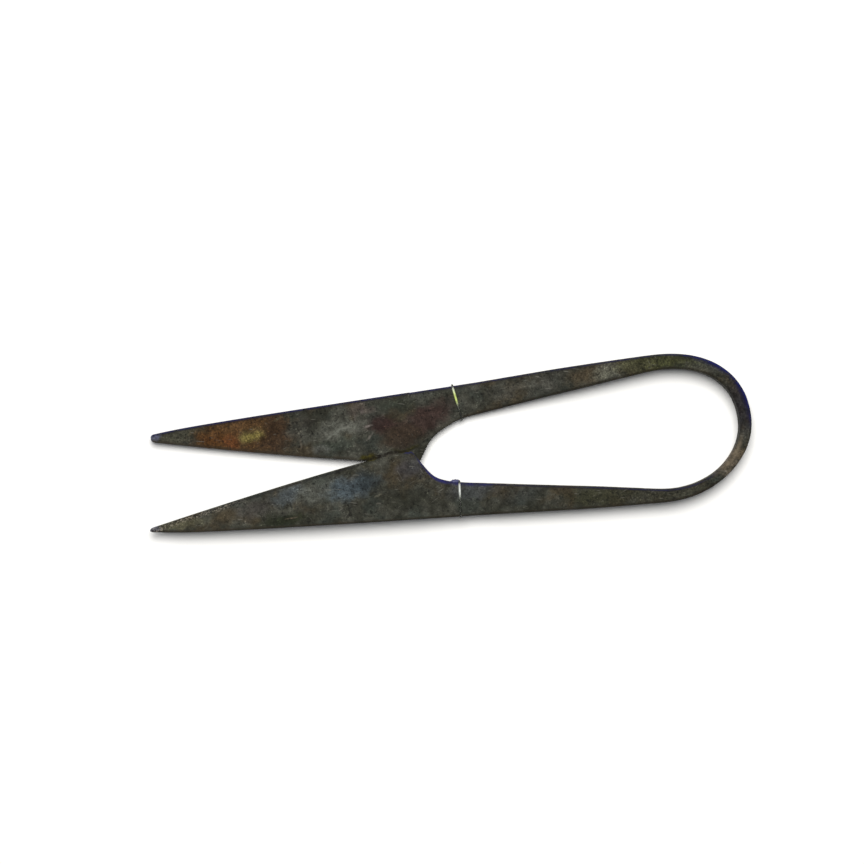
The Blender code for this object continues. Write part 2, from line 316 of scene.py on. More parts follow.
def ring_points(width, top, bottom, radii):
    """One closed section as (inward, Z) points: outer wall upwards, top, inner wall down, bottom.

    top and bottom give Z at a distance inward. radii are those of the corners: outer bottom, outer top,
    inner top, inner bottom.
    """
    outer_bottom, outer_top, inner_top, inner_bottom = radii
    quarter = np.linspace(0, math.pi / 2, CORNER_COUNT + 1)
    wall = np.linspace(0, 1, WALL_COUNT + 1)[:, None]
    along = np.linspace(0, 1, ACROSS_COUNT + 1)

    def corner(at_inner, radius, face, up, turn):
        """An arc from its wall, at turn 0, to the top or bottom face."""
        inward = radius * (1 - np.cos(turn))
        inward = width - inward if at_inner else inward
        return np.column_stack([inward, face(inward) - up * radius * (1 - np.sin(turn))])

    arc_ob = corner(False, outer_bottom, bottom, -1, quarter[::-1])
    arc_ot = corner(False, outer_top, top, 1, quarter)
    arc_it = corner(True, inner_top, top, 1, quarter[::-1])
    arc_ib = corner(True, inner_bottom, bottom, -1, quarter)
    outer_wall = arc_ob[-1] + wall * (arc_ot[0] - arc_ob[-1])
    inner_wall = arc_it[-1] + wall * (arc_ib[0] - arc_it[-1])
    over = outer_top + along * (width - outer_top - inner_top)
    under = width - inner_bottom - along * (width - outer_bottom - inner_bottom)
    top_side = np.column_stack([over, top(over)])
    bottom_side = np.column_stack([under, bottom(under)])
    pieces = [arc_ob[:-1], outer_wall[:-1], arc_ot[:-1], top_side[:-1]]
    pieces += [arc_it[:-1], inner_wall[:-1], arc_ib[:-1], bottom_side[:-1]]
    return np.concatenate(pieces)


def world_ring(x, y, z):
    """A section's points in the world, where x is one value or one for each point."""
    return np.column_stack([np.broadcast_to(x, y.shape), y, z])


def blunted(side, x, outer, inner):
    """Both outlines at x, drawn together near the tip to a blunt quarter ellipse."""
    left = np.clip((x - TIP_X[side]) / TIP_ROUNDING, 0, 1)
    share = TIP_BLUNTNESS + (1 - TIP_BLUNTNESS) * math.sqrt(1 - (1 - left) ** 2)
    middle, half = (outer + inner) / 2, (outer - inner) / 2 * share
    return middle + half, middle - half


def keenness(side, x):
    """1 where the cutting edge is bevelled and bare, 0 where it ends at the heel."""
    return float(ease((STEEL_END_X[side] - x) / BEVEL_FADE))


def grind_drop(side, x):
    """How far the grind lowers the back at the edge: most in mid-blade, and not at all past the heel."""
    tip = TIP_X[side]
    places = [tip, tip + 10 * MM, -24 * MM, -14 * MM, -8 * MM, -3 * MM, 0]
    drops = [0.30, 0.85, 1.45, 1.45, 0.90, 0.20, 0.0]
    return MM * np.interp(x, places, drops)


def arm_corners(side, x, lip):
    """Radii of an arm's corners at x: back outer, face outer, face inner and back inner.

    lip is the thickness at the inner side, which the two inner corners have to share.
    """
    places = [TIP_X[side], -0.03, 0.0, 0.012, BOW_CENTRE_X]
    back_outer = MM * np.interp(x, places, [0.12, 0.30, 0.40, 0.60, 0.55])
    plain = MM * np.interp(x, [-0.004, 0.006, 0.02], [0.08, 0.45, 0.55])
    back_inner = MM * np.interp(x, [-0.006, -0.001, 0.010], [0.08, 0.35, 0.6])
    most = 0.42 * lip
    if x <= STEEL_END_X[side]:
        return back_outer, LET_IN_CORNER, LET_IN_CORNER, min(back_inner, most)
    return back_outer, plain, min(plain, most), min(back_inner, most)


def arm_ring(side, x, outer, inner, face, back):
    """World points of the forging's section at x, which is let in for the edge steel up to the heel."""
    outer, inner = blunted(side, x, outer, inner)
    full_width = outer - inner
    width = full_width - min(SETBACK, 0.4 * full_width) * keenness(side, x)
    let_in = x <= STEEL_END_X[side]
    if let_in:
        face = STEEL_FACE + STEEL_THICKNESS
    back -= TIP_THINNING * float(ease(1 - (x - TIP_X[side]) / TIP_TAPER)) ** 2
    drop = min(grind_drop(side, x), back - face - GROUND_THICKNESS)
    in_shank = ease((x - NECK_X[side] + 2.0 * MM) / (5 * MM))
    dome = SHANK_DOME * in_shank * ease((BOW_CENTRE_X + 4 * MM - x) / (26 * MM))

    def back_height(v):
        share = np.clip((v / width - GRIND_LAND) / (1 - GRIND_LAND), 0, 1)
        return back - drop * share**GRIND_POWER - dome * (2 * v / width - 1) ** 2

    def face_height(v):
        return face + dome * (2 * v / width - 1) ** 2

    def back_z(v):
        return MID_Z - side * back_height(v)

    def face_z(v):
        return MID_Z - side * face_height(v)

    lip = float(back_height(width) - face_height(width))
    back_outer, face_outer, face_inner, back_inner = arm_corners(side, x, lip)
    if side == RIGHT:
        section = ring_points(width, face_z, back_z, (back_outer, face_outer, face_inner, back_inner))
    else:
        section = ring_points(width, back_z, face_z, (face_outer, back_outer, back_inner, face_inner))
    ring = world_ring(x, side * (outer - section[:, 0]), section[:, 1])
    hidden = let_in & (np.abs(section[:, 1] - (MID_Z - side * face)) < 0.03 * MM)
    return ring, section[:, 0], full_width, np.where(hidden, 0.0, 1.0)


def bow_ring(angle, outer, inner):
    """World points of the band's section at an angle about the bow's centre."""
    turn = math.radians(angle)
    width = outer - inner

    def top(v):
        return 2 * MID_Z - BAND_CROWNING * (2 * v / width - 1) ** 2

    def bottom(v):
        return BAND_CROWNING * (2 * v / width - 1) ** 2

    section = ring_points(width, top, bottom, [BAND_CORNER] * 4)
    radial = outer - section[:, 0]
    ring = world_ring(BOW_CENTRE_X + radial * math.cos(turn), radial * math.sin(turn), section[:, 1])
    return ring, section[:, 0], width, np.ones(len(section))


def stack(made):
    """The rings, depths from the back, depths from the edge and wear shares of a list of sections."""
    grid = np.array([m[0] for m in made])
    from_back = np.array([m[1] for m in made])
    widths = np.array([np.broadcast_to(m[2], from_back.shape[1:]) for m in made])
    share = np.array([m[3] for m in made])
    return grid, from_back, widths - from_back, share


def base_sections():
    """The forging as sections, from the right tip round the bow to the left tip, and the crown's row."""
    xs, lines = arm_profile(RIGHT)
    made = [arm_ring(RIGHT, x, *row) for x, *row in zip(xs, *lines)]
    angles, (outer, inner) = bow_profile()
    crown = len(made) + len(angles) // 2
    made += [bow_ring(*row) for row in zip(angles, outer, inner)]
    xs, lines = arm_profile(LEFT)
    made += [arm_ring(LEFT, x, *row) for x, *row in list(zip(xs, *lines))[::-1]]
    return made, crown


def eased_joints(grid):
    """The grid with its stations averaged where the shanks run into the bow, so that no kink shows."""
    reach, passes = 5.0 * MM, 70
    x, y = grid[..., 0].mean(axis=1), np.abs(grid[..., 1].mean(axis=1))
    near = np.exp(-(((x - BOW_CENTRE_X) / reach) ** 2)) * (y > reach)
    soft = grid
    for _ in range(passes):
        soft = soft.copy()
        soft[1:-1] = 0.25 * soft[:-2] + 0.5 * soft[1:-1] + 0.25 * soft[2:]
    near = near[:, None, None]
    return grid * (1 - near) + soft * near


# ------------------------------------ wear in the surface itself


def field(points, size, seed):
    """Smooth noise from -1 to 1 at each point, with features of about this size in metres."""
    offset = Vector((seed * 7.31, seed * 3.17, seed * 5.71))
    return np.array([noise.noise(Vector(p) / size + offset) for p in points])


def pits(points, size, seed, fill):
    """Depth from 0 to 1 of round pits, where fill is the share of cells that hold one."""
    offset = Vector((seed * 11.3, seed * 2.9, seed * 7.7))
    radius_in_cells = 0.42
    depths = np.zeros(len(points))
    for i, p in enumerate(points):
        distances, centres = noise.voronoi(Vector(p) / size + offset)
        if noise.cell(centres[0] * 3.7 + offset) < fill:
            depths[i] = max(0.0, 1 - (distances[0] / radius_in_cells) ** 2)
    return depths


def grid_normals(grid):
    """A normal at each point of a closed-round grid, pointing out, and square to X along the blades."""
    around = np.roll(grid, -1, axis=1) - np.roll(grid, 1, axis=1)
    along = np.gradient(grid, axis=0)
    normals = np.cross(around, along)
    normals[grid[:, 0, 0] < NECK_X[RIGHT], :, 0] = 0
    return normals / np.maximum(np.linalg.norm(normals, axis=2, keepdims=True), 1e-12)


def worn(grid, share):
    """The grid sunk below the clean forging by hammer flats, scale and pits, inside the CAD's box."""
    flat = grid.reshape(-1, 3)
    depth = np.zeros(len(flat))
    for deepest, size, seed in WAVES:
        depth += deepest * (0.5 + 0.5 * field(flat, size, seed))
    patches = np.clip(0.5 + 1.6 * field(flat, PIT_PATCH_SIZE, PIT_PATCH_SEED), 0, 1)
    for deepest, size, seed, fill in PITS:
        depth += deepest * patches * pits(flat, size, seed, fill)
    depth = depth.reshape(grid.shape[:2]) * share * MM
    result = grid - grid_normals(grid) * depth[..., None]
    return np.clip(result, low_corner, high_corner)


def outline_normals(outline, opposite):
    """The way an outline faces in plan, away from the opposite outline, at each of its points."""
    along = np.gradient(outline, axis=0)
    normals = np.column_stack([along[:, 1], -along[:, 0]])
    normals /= np.maximum(np.linalg.norm(normals, axis=1, keepdims=True), 1e-12)
    turned_in = ((outline - opposite) * normals).sum(axis=1) < 0
    normals[turned_in] *= -1
    return normals


def rims(grid, from_back, from_edge):
    """At each point, the way its nearer side wall faces (X, Y) and how far the top arris is in mm (Z).

    A point down a wall counts as farther than it is, because only the arris itself is tinted.
    """
    rows = np.arange(grid.shape[0])
    back = grid[rows, from_back.argmin(axis=1), :2]
    edge = grid[rows, from_edge.argmin(axis=1), :2]
    back_facing = outline_normals(back, edge)[:, None]
    edge_facing = outline_normals(edge, back)[:, None]
    nearer_back = from_back < from_edge
    facing = np.where(nearer_back[..., None], back_facing, edge_facing)

    arris_reach = 0.9 * MM
    back_top = np.where(from_back < arris_reach, grid[..., 2], 0).max(axis=1, keepdims=True)
    edge_top = np.where(from_edge < arris_reach, grid[..., 2], 0).max(axis=1, keepdims=True)
    top = np.maximum(np.where(nearer_back, back_top, edge_top), MID_Z - STEEL_FACE)
    on_shank = ease((grid[:, :1, 0] + 2 * MM) / (6 * MM))
    rounding = 0.12 * MM + 0.14 * MM * on_shank
    below = np.maximum(top - grid[..., 2] - rounding, 0)
    from_arris = np.minimum(from_back, from_edge) + 5.0 * below
    return np.concatenate([facing, from_arris[..., None] / MM], axis=-1)


def skin_attributes(grid, from_back, from_edge):
    """What the patina reads at each point: its place before wear, its rim and how far the edge is."""
    return {"rest": grid / MM, "rim": rims(grid, from_back, from_edge), "from_edge": from_edge / MM}


# ------------------------------------ meshes


def link(name, mesh, material):
    mesh.materials.append(material)
    obj = bpy.data.objects.new(name, mesh)
    bpy.context.scene.collection.objects.link(obj)
    return obj


def mesh_from_grid(name, grid, attributes):
    """A closed mesh from rings of points, capped flat at both ends, with its own point attributes."""
    rows, columns = grid.shape[:2]
    index = np.arange(rows * columns).reshape(rows, columns)
    after = np.roll(index, -1, axis=1)
    quads = np.stack([index[:-1], after[:-1], after[1:], index[1:]], axis=-1).reshape(-1, 4)
    faces = [tuple(map(int, q)) for q in quads]
    faces.append(tuple(int(i) for i in index[0][::-1]))
    faces.append(tuple(int(i) for i in index[-1]))
    mesh = bpy.data.meshes.new(name)
    mesh.from_pydata([tuple(p) for p in grid.reshape(-1, 3)], [], faces)
    for key, values in attributes.items():
        kind, field_name = ("FLOAT_VECTOR", "vector") if values.ndim == 3 else ("FLOAT", "value")
        attribute = mesh.attributes.new(key, kind, "POINT")
        attribute.data.foreach_set(field_name, values.astype(np.float32).ravel())
    mesh.validate()
    mesh.shade_smooth()
    mesh.set_sharp_from_angle(angle=math.radians(50))
    return mesh


def match_seam(mesh, row, normals):
    """Gives one end ring the normals of the whole skin, so that its two halves meet unseen."""
    columns = len(normals)
    corner_normals = np.empty(len(mesh.loops) * 3, np.float32)
    mesh.corner_normals.foreach_get("vector", corner_normals)
    corner_normals = corner_normals.reshape(-1, 3)
    vertex = np.empty(len(mesh.loops), np.int32)
    mesh.loops.foreach_get("vertex_index", vertex)
    in_side = np.zeros(len(mesh.loops), bool)
    for polygon in mesh.polygons:
        if polygon.loop_total == 4:
            in_side[polygon.loop_start : polygon.loop_start + 4] = True
    start = row * columns
    on_ring = in_side & (vertex >= start) & (vertex < start + columns)
    corner_normals[on_ring] = normals[vertex[on_ring] - start]
    mesh.normals_split_custom_set([tuple(map(float, n)) for n in corner_normals])


def build_iron():
    """The forging's skin in two halves that meet at the bow's crown, each bending from bow to arm."""
    made, crown = base_sections()
    grid, from_back, from_edge, share = stack(made)
    grid = eased_joints(grid)
    skin = worn(grid, share)
    normals = grid_normals(skin)
    attributes = skin_attributes(grid, from_back, from_edge)
    halves = {RIGHT: slice(0, crown + 1), LEFT: slice(crown, None)}
    for side, rows in halves.items():
        name = SIDE_NAMES[side]
        part = {key: values[rows] for key, values in attributes.items()}
        mesh = mesh_from_grid(f"forging_{name}_half", skin[rows], part)
        match_seam(mesh, crown if side == RIGHT else 0, normals[crown])
        half = link(mesh.name, mesh, iron_material())
        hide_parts("spring_bow", f"{name}_spring_leg", f"{name}_shank", f"{name}_blade")
        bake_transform(half)
    return {RIGHT: skin[: crown + 1], LEFT: skin[crown:][::-1]}


def steel_ring(side, x, outer, inner):
    """World points of the edge steel's section at x: its inner face is hollow, its edge is bevelled."""
    outer, inner = blunted(side, x, outer, inner)
    width = outer - inner
    keen = keenness(side, x)
    inset = 0.03 * MM
    bevel = max(min(EDGE_BEVEL, 0.6 * width) * keen, inset)
    top = STEEL_FACE + STEEL_THICKNESS
    edge_top = top - (STEEL_THICKNESS - EDGE_THICKNESS) * keen
    hollow = HOLLOW_DEPTH * keen * min(width / (9 * MM), 1)
    across = np.linspace(inset, width - 0.01 * MM, ACROSS_COUNT)
    face = np.column_stack([across, STEEL_FACE + hollow * (1 - (2 * across / width - 1) ** 2)])
    slope = np.linspace(0, 1, 5)[:, None]
    bevelled = np.array([width, edge_top]) + slope * np.array([-bevel, top - edge_top])
    back = np.column_stack([np.linspace(width - bevel, inset, 12)[1:], np.full(11, top)])
    wall = np.column_stack([np.zeros(3), np.linspace(top - inset, STEEL_FACE + inset, 3)])
    section = np.concatenate([face, bevelled, back, wall])
    ring = world_ring(x, side * (outer - section[:, 0]), MID_Z - side * section[:, 1])
    share = np.concatenate([np.ones(len(face)), np.zeros(len(section) - len(face))])
    return ring, section[:, 0], width, share


def build_edge_steel(side):
    places, (outer, inner, _, _) = arm_profile(side)
    rows = zip(places, outer, inner)
    made = [steel_ring(side, *row) for row in rows if row[0] <= STEEL_END_X[side]]
    grid, from_back, from_edge, share = stack(made)
    name = SIDE_NAMES[side]
    attributes = skin_attributes(grid, from_back, from_edge)
    mesh = mesh_from_grid(f"edge_steel_{name}", worn(grid, share), attributes)
    piece = link(mesh.name, mesh, iron_material())
    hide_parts(f"{name}_edge_steel")
    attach(piece, f"{name}_arm")


# ------------------------------------ ties

LINE_RADIUS = 0.20 * MM
LINE_SIDES = 12
CLEAR_TINT = np.array([0.42, 0.44, 0.38])
# Line colours: a painted highlight, whitish, and yellow-green on the right tie.
HIGHLIGHT_TINT = np.array([0.62, 0.65, 0.62])
YELLOW_HIGHLIGHT_TINT = np.array([0.50, 0.60, 0.17])
# The knot's colour: dirt, darkened further with painted shade.
SOILED_AND_SHADED_TINT = np.array([0.075, 0.078, 0.16])

# How far from the shank's edge on the +Y side the line carries its painted highlight, in shares of the
# shank's width.
HIGHLIGHT_REACH = {RIGHT: 0.66, LEFT: 0.54}
HIGHLIGHT_FADE = 0.26
CLEARNESS = 0.96
HIGHLIGHT_OPACITY = 0.88


def line_tube(name, path, tint, clearness):
    """The line swept along a closed path of points, with a tint and a clearness at each of them."""
    tangents = np.roll(path, -1, axis=0) - np.roll(path, 1, axis=0)
    tangents /= np.linalg.norm(tangents, axis=1, keepdims=True)
    turns = np.linspace(0, 2 * math.pi, LINE_SIDES, endpoint=False)
    rings = []
    side_way = np.array([1.0, 0.0, 0.0])
    for point, tangent in zip(path, tangents):
        first = side_way - tangent * (side_way @ tangent)
        first /= np.linalg.norm(first)
        second = np.cross(tangent, first)
        rings.append([point + LINE_RADIUS * (math.cos(t) * first + math.sin(t) * second) for t in turns])
        side_way = first
    index = np.arange(len(path) * LINE_SIDES).reshape(len(path), LINE_SIDES)
    ahead = np.roll(index, -1, axis=0)
    quads = np.stack([index, np.roll(index, -1, axis=1), np.roll(ahead, -1, axis=1), ahead], axis=-1)
    faces = [tuple(map(int, q)) for q in quads.reshape(-1, 4)]
    mesh = bpy.data.meshes.new(name)
    mesh.from_pydata([tuple(p) for p in np.array(rings).reshape(-1, 3)], [], faces)
    tints = mesh.attributes.new("tint", "FLOAT_VECTOR", "POINT")
    tints.data.foreach_set("vector", np.repeat(tint.astype(np.float32), LINE_SIDES, axis=0).ravel())
    clear = mesh.attributes.new("clearness", "FLOAT", "POINT")
    clear.data.foreach_set("value", np.repeat(clearness.astype(np.float32), LINE_SIDES))
    mesh.shade_smooth()
    return link(name, mesh, line_material())


def tie_path(side, skin):
    """Points once round the shank, tight on the skin and slanting from its outer to its inner side.

    With each point comes its share of the way from the inner to the outer side.
    """
    low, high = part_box(f"{SIDE_NAMES[side]}_tie")
    outer_x, inner_x = low.x + LINE_RADIUS, high.x - LINE_RADIUS
    near = skin[np.abs(skin[:, 0, 0] - (low.x + high.x) / 2) < 3 * MM]
    ring_x = near[:, 0, 0]
    section = near[len(near) // 2]
    middle = section.mean(axis=0)
    width = section[:, 1].max() - section[:, 1].min()
    path, shares = [], []
    for i in range(0, skin.shape[1], 2):
        share = side * (section[i, 1] - middle[1]) / width + 0.5
        x = inner_x + (outer_x - inner_x) * share
        path.append([np.interp(x, ring_x, near[:, i, c]) for c in range(3)])
        shares.append(share)
    path = np.array(path)
    for _ in range(2):
        path = 0.25 * np.roll(path, 1, axis=0) + 0.5 * path + 0.25 * np.roll(path, -1, axis=0)
    tangent = np.roll(path, -1, axis=0) - np.roll(path, 1, axis=0)
    outwards = np.cross(tangent, [1.0, 0, 0])
    outwards /= np.linalg.norm(outwards, axis=1, keepdims=True)
    if ((path - path.mean(axis=0)) * outwards).sum() < 0:
        outwards = -outwards
    return path + outwards * LINE_RADIUS * 0.9, np.array(shares)


def build_tie(side, skin):
    """The line is clear, with a painted highlight, whitish and less clear, on top near the shank's edge
    on the +Y side.
    """
    name = SIDE_NAMES[side]
    path, shares = tie_path(side, skin)
    from_highlit_edge = 1 - shares if side == RIGHT else shares
    # Painted highlight: whitish and less clear on top near the +Y edge, where the key glints on the line.
    on_top = ease((path[:, 2] - path[:, 2].mean()) / (0.4 * MM))
    painted_highlight = ease((HIGHLIGHT_REACH[side] - from_highlit_edge) / HIGHLIGHT_FADE) * on_top
    painted_highlight = (painted_highlight * ease((from_highlit_edge - 0.02) / 0.10))[:, None]
    highlight_tint = HIGHLIGHT_TINT
    if side == RIGHT:
        yellow_share = ease((from_highlit_edge + 0.08) / 0.42)[:, None]
        highlight_tint = HIGHLIGHT_TINT + (YELLOW_HIGHLIGHT_TINT - HIGHLIGHT_TINT) * yellow_share
    tint = CLEAR_TINT + (highlight_tint - CLEAR_TINT) * painted_highlight
    tie = line_tube(f"clear_tie_{name}", path, tint, CLEARNESS - HIGHLIGHT_OPACITY * painted_highlight[:, 0])
    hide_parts(f"{name}_tie")
    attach(tie, f"{name}_arm")


def build_knot(skin):
    """The left tie's knot: close soiled turns drawn down into a lump against the shank's inner side,
    darkened with painted shade.
    """
    low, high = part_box("left_tie_knot")
    middle = (low + high) / 2
    station = skin[np.abs(skin[:, 0, 0] - middle.x).argmin()]
    wall = station[:, 1].max()
    half = Vector((0.88, 0.40, 0.42)) * MM
    centre = Vector((middle.x, wall + 0.06 * MM, middle.z + 0.25 * MM))
    turns, rows, columns = 3.5, 44, 20
    share = (1 - np.cos(np.linspace(0.06, math.pi - 0.06, rows))) / 2
    around = np.linspace(0, 2 * math.pi, columns, endpoint=False)
    along, turn = np.meshgrid(share, around, indexing="ij")
    wraps = 1 + 0.10 * np.cos(2 * math.pi * turns * along + turn)
    swell = np.sqrt(1 - (2 * along - 1) ** 2) * wraps
    x = centre.x + (2 * along - 1) * half.x
    y = centre.y + swell * half.y * np.cos(turn)
    z = centre.z - swell * half.z * np.sin(turn)
    tint = np.broadcast_to(SOILED_AND_SHADED_TINT, (rows, columns, 3))
    attributes = {"tint": tint, "clearness": np.full((rows, columns), 0.05)}
    mesh = mesh_from_grid("clear_tie_knot", np.stack([x, y, z], axis=-1), attributes)
    knot = link(mesh.name, mesh, line_material())
    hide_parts("left_tie_knot")
    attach(knot, "left_arm")


# ------------------------------------ materials


class Tree:
    """A node tree, written as calls that hand back sockets."""

    def __init__(self, tree):
        self.tree = tree

    def node(self, kind, inputs=None, **settings):
        made = self.tree.nodes.new(kind)
        for key, value in settings.items():
            setattr(made, key, value)
        self.fill(made, inputs or {})
        return made

    def fill(self, node, inputs):
        for key, value in inputs.items():
            if isinstance(value, bpy.types.NodeSocket):
                self.tree.links.new(value, node.inputs[key])
            else:
                node.inputs[key].default_value = value

    def math(self, operation, a, b):
        return self.node("ShaderNodeMath", {0: a, 1: b}, operation=operation).outputs[0]

    def product(self, value, *factors):
        for factor in factors:
            value = self.math("MULTIPLY", value, factor)
        return value

    def vector(self, operation, a, b):
        return self.node("ShaderNodeVectorMath", {0: a, 1: b}, operation=operation).outputs[0]

    def length(self, vector):
        return self.node("ShaderNodeVectorMath", {0: vector}, operation="LENGTH").outputs["Value"]

    def scaled(self, color, factor):
        return self.node("ShaderNodeVectorMath", {0: color, 3: factor}, operation="SCALE").outputs[0]

    def turned(self, vector, angle, invert=False):
        inputs = {"Vector": vector, "Angle": angle}
        made = self.node("ShaderNodeVectorRotate", inputs, rotation_type="Z_AXIS", invert=invert)
        return made.outputs[0]

    def noise(self, where, scale, detail, roughness, output="Fac"):
        inputs = {"Vector": where, "Scale": scale, "Detail": detail, "Roughness": roughness}
        return self.node("ShaderNodeTexNoise", inputs).outputs[output]

    def band(self, value, low, high, to_low=0.0, to_high=1.0):
        inputs = {"Value": value, "From Min": low, "From Max": high, "To Min": to_low, "To Max": to_high}
        made = self.node("ShaderNodeMapRange", inputs, interpolation_type="SMOOTHSTEP")
        return made.outputs["Result"]

    def mix(self, factor, a, b):
        return self.node("ShaderNodeMix", {0: factor, 6: a, 7: b}, data_type="RGBA").outputs[2]

    def attribute(self, name, output):
        return self.node("ShaderNodeAttribute", attribute_name=name).outputs[output]


def shade(red, green, blue):
    """The pigment that looks like this display colour on matt iron in this light, less its sheen."""
    share, sheen = 0.765, 0.0065

    def pigment(value):
        value /= 255
        seen = value / 12.92 if value <= 0.04045 else ((value + 0.055) / 1.055) ** 2.4
        return max(share * seen - sheen, 0.001)

    return (pigment(red), pigment(green), pigment(blue), 1)


# Stains, and one painted highlight on the bow's inner wall: centre and radii in millimetres, turn in
# degrees, colour, strength, softness.
# Heights near 2.2 are the right blade's inner face, heights near 4 the left blade's outer side.
STAINS_AND_HIGHLIGHT = [
    ((-50.0, 8.2, 2.2), (5.0, 1.5, 0.9), 2, (70, 69, 58), 0.8, 0.8),
    ((-37.2, 6.8, 2.2), (9.2, 3.8, 0.9), 2, (72, 54, 36), 0.95, 0.45),
    ((-41.2, 6.8, 2.2), (3.4, 1.2, 0.9), -4, (80, 53, 31), 0.8, 1.3),
    ((-38.0, 8.0, 2.2), (3.4, 1.0, 0.9), 4, (92, 69, 46), 0.8, 1.4),
    ((-39.0, 6.2, 2.2), (1.4, 1.0, 0.9), 40, (104, 64, 40), 0.6, 1.5),
    ((-35.6, 6.6, 2.2), (2.2, 1.0, 0.9), 6, (96, 85, 58), 0.70, 1.6),
    ((-35.4, 6.35, 2.2), (1.6, 0.60, 0.9), 2, (116, 107, 58), 0.65, 2.0),
    ((-31.0, 6.3, 2.2), (2.4, 4.0, 0.9), -8, (62, 49, 38), 0.8, 0.8),
    ((-26.4, 6.6, 2.2), (2.2, 2.0, 0.9), 0, (74, 74, 68), 0.7, 1.2),
    ((-24.9, 8.0, 2.2), (1.5, 1.0, 0.9), 0, (56, 54, 49), 0.8, 1.1),
    ((-20.5, 3.6, 2.2), (3.2, 1.1, 0.9), 0, (62, 68, 61), 0.6, 1.1),
    ((-18.6, 6.2, 2.2), (4.0, 1.3, 0.9), 8, (93, 94, 87), 0.8, 1.4),
    ((-15.0, 9.4, 2.2), (2.4, 0.9, 0.9), 0, (84, 77, 72), 0.7, 1.3),
    ((-23.5, 2.9, 2.2), (1.8, 0.7, 0.9), 0, (84, 85, 81), 0.6, 1.3),
    ((-11.4, 6.0, 2.2), (3.4, 1.7, 0.9), -14, (52, 38, 37), 0.85, 1.0),
    ((-1.5, 10.4, 4.0), (3.2, 1.0, 2.5), 4, (70, 71, 64), 0.7, 1.3),
    ((-3.4, 6.2, 2.2), (5.0, 2.2, 1.4), 26, (61, 47, 44), 0.85, 1.0),
    ((-8.2, 3.4, 2.2), (3.6, 1.9, 0.9), 8, (56, 47, 39), 0.85, 1.0),
    ((-8.2, 9.3, 2.2), (3.2, 1.2, 0.9), 0, (54, 58, 51), 0.8, 1.2),
    ((-14.9, 0.5, 2.4), (1.3, 0.6, 1.0), 0, (62, 58, 24), 0.95, 1.2),
    ((-7.6, 1.2, 2.2), (2.2, 0.5, 0.9), 4, (50, 48, 24), 0.85, 1.2),
    ((-51.0, -7.9, 3.8), (5.0, 0.9, 1.5), 0, (98, 95, 76), 0.7, 1.2),
    ((-41.3, -7.3, 4.0), (2.4, 1.3, 1.5), 10, (74, 66, 52), 0.8, 1.2),
    ((-36.0, -6.6, 4.2), (3.4, 1.5, 1.2), 10, (70, 67, 64), 0.7, 1.2),
    ((-29.5, -4.5, 4.2), (2.8, 1.3, 1.2), 12, (83, 90, 94), 0.8, 1.4),
    ((-25.0, -5.0, 4.2), (2.8, 1.6, 1.2), 0, (90, 92, 86), 0.7, 1.4),
    ((-18.8, -4.6, 4.2), (3.6, 2.0, 1.2), 8, (72, 83, 90), 0.8, 1.2),
    ((-15.4, -3.8, 4.2), (2.4, 1.8, 1.2), 0, (48, 55, 58), 0.8, 1.2),
    ((-30.5, -9.4, 4.2), (3.8, 1.2, 1.2), 0, (42, 45, 33), 0.85, 1.2),
    ((-7.0, -7.7, 4.2), (3.6, 2.0, 1.2), 0, (49, 50, 43), 0.8, 1.2),
    ((-7.3, -2.2, 4.2), (2.8, 1.8, 1.2), 0, (64, 63, 66), 0.7, 1.2),
    ((3.5, -7.6, 4.2), (4.0, 1.4, 1.5), 0, (68, 70, 72), 0.6, 1.2),
    ((12.0, -9.4, 4.2), (4.0, 1.6, 1.5), 0, (54, 57, 55), 0.6, 1.2),
    ((27.0, -10.8, 4.2), (6.0, 2.0, 1.8), 0, (54, 54, 41), 0.85, 1.0),
    ((12.0, 9.8, 4.2), (3.8, 1.5, 1.8), 8, (76, 76, 71), 0.7, 1.3),
    ((26.4, 11.1, 4.0), (3.2, 1.6, 1.8), 8, (82, 72, 57), 0.7, 1.3),
    ((19.5, 10.4, 4.0), (2.6, 1.5, 1.8), 8, (72, 71, 66), 0.7, 1.3),
    ((30.6, 11.5, 4.0), (2.2, 0.9, 1.8), 8, (104, 104, 92), 0.7, 1.4),
    ((40.5, 12.3, 4.0), (7.0, 1.8, 2.5), 0, (66, 67, 40), 0.75, 1.1),
    ((36.0, 11.6, 4.0), (2.6, 1.4, 2.0), 8, (74, 73, 56), 0.75, 1.2),
    ((38.0, -11.9, 4.0), (7.0, 1.8, 2.5), 0, (56, 55, 46), 0.7, 1.2),
    ((53.9, 2.2, 3.6), (2.4, 5.0, 2.5), 0, (38, 37, 42), 0.8, 1.2),
    # Painted highlight: the bow's inner wall at the lower right, which faces the key, lightened to cream.
    ((49.8, -5.8, 2.4), (2.6, 4.2, 3.0), 30, (124, 110, 94), 0.7, 1.2),
    ((47.0, 9.4, 4.0), (2.4, 1.4, 2.0), -30, (84, 82, 70), 0.6, 1.3),
]

